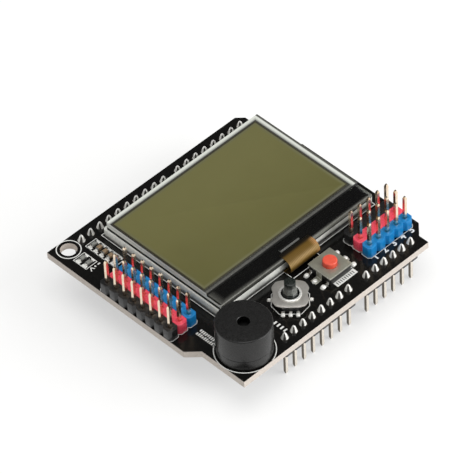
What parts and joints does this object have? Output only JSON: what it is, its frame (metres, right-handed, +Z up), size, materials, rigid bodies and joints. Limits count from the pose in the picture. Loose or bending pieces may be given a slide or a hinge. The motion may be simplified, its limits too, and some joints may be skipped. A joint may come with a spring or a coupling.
{
  "type": "graphic lcd board",
  "caption": "Black circuit board with a graphic LCD, round buzzer, five-way lever switch, reset button and coloured signal headers, on stacking pins.",
  "frame": {"origin": "under the middle of the board, level with the tips of the stacking pins", "axes": "+X along the header rows towards the display's right end, +Y towards the back row, +Z up"},
  "size_m": [0.0568, 0.0534, 0.0185],
  "materials": {
    "board_black": "gloss black solder mask",
    "plastic_black": "satin moulded",
    "plastic_red": "satin moulded",
    "plastic_blue": "satin moulded",
    "pin_gold": "thin gold flash",
    "pin_tin": "tinned",
    "solder": "bright solder",
    "milky_plastic": "milky",
    "white_sheet": "white",
    "clear_plastic": "clear",
    "olive_film": "smooth film",
    "glass": "clear",
    "black_tape": "satin",
    "silicon": "polished",
    "amber_film": "smooth film",
    "buzzer_black": "fine matt",
    "iron": "plain",
    "copper": "enamelled wire",
    "switch_black": "satin",
    "switch_metal": "satin stamped",
    "lever_dark": "satin",
    "cap_red": "satin",
    "chip_grey": "ceramic",
    "chip_tan": "ceramic"
  },
  "bodies": {
    "board": {"backlight_frame": "milky_plastic", "backlight_lamps": "white_sheet", "buzzer_base": "buzzer_black", "buzzer_case": "buzzer_black", "buzzer_coil": "copper", "buzzer_diaphragm": "iron", "buzzer_leads": "pin_tin", "buzzer_magnet": "iron", "buzzer_yoke": "iron", "chip_capacitors": "chip_tan", "chip_resistors": "chip_grey", "circuit_board": "board_black", "driver_chip": "silicon", "flex_tail": "amber_film", "front_glass": "glass", "front_polariser": "olive_film", "ledge_tape": "black_tape", "lever_base": "switch_black", "lever_cover": "switch_metal", "lever_dome": "switch_metal", "lever_legs": "pin_tin", "light_guide": "clear_plastic", "pins_analog": "pin_tin", "pins_analog_black": "pin_gold", "pins_analog_blue": "pin_gold", "pins_analog_red": "pin_gold", "pins_digital_a": "pin_tin", "pins_digital_b": "pin_tin", "pins_digital_black": "pin_gold", "pins_digital_blue": "pin_gold", "pins_digital_red": "pin_gold", "pins_power": "pin_tin", "rear_glass": "glass", "rear_polariser": "olive_film", "reflector_sheet": "white_sheet", "reset_base": "switch_black", "reset_cover": "switch_metal", "reset_dome": "switch_metal", "reset_legs": "pin_tin", "solder_analog": "solder", "solder_analog_signals": "solder", "solder_buzzer": "solder", "solder_digital_a": "solder", "solder_digital_b": "solder", "solder_digital_signals": "solder", "solder_power": "solder", "strip_analog": "plastic_black", "strip_analog_black": "plastic_black", "strip_analog_blue": "plastic_blue", "strip_analog_red": "plastic_red", "strip_digital_a": "plastic_black", "strip_digital_b": "plastic_black", "strip_digital_black": "plastic_black", "strip_digital_blue": "plastic_blue", "strip_digital_red": "plastic_red", "strip_power": "plastic_black"},
    "reset_button": {"reset_cap": "cap_red"},
    "lever_carrier": {"lever_seat": "switch_black"},
    "lever_rocker": {"lever_ring": "switch_black"},
    "lever": {"lever_stick": "lever_dark"}
  },
  "joints": [
    {"name": "reset_press", "type": "slide", "parent": "board", "child": "reset_button", "axis": [0, 0, -1], "range_m": [0, 0.00025], "stiffness_N_per_m": 6000, "deforming": ["reset_dome"]},
    {"name": "lever_press", "type": "slide", "parent": "board", "child": "lever_carrier", "axis": [0, 0, -1], "range_m": [0, 0.00025], "stiffness_N_per_m": 6000, "deforming": ["lever_dome"]},
    {"name": "lever_tilt_front_back", "type": "hinge", "parent": "lever_carrier", "child": "lever_rocker", "pos_m": [-0.00428, -0.01785, 0.01169], "axis": [0.7071, -0.7071, 0], "range_deg": [-7, 7], "stiffness_Nm_per_rad": 0.03},
    {"name": "lever_tilt_left_right", "type": "hinge", "parent": "lever_rocker", "child": "lever", "pos_m": [-0.00428, -0.01785, 0.01169], "axis": [0.7071, 0.7071, 0], "range_deg": [-7, 7], "stiffness_Nm_per_rad": 0.03}
  ]
}
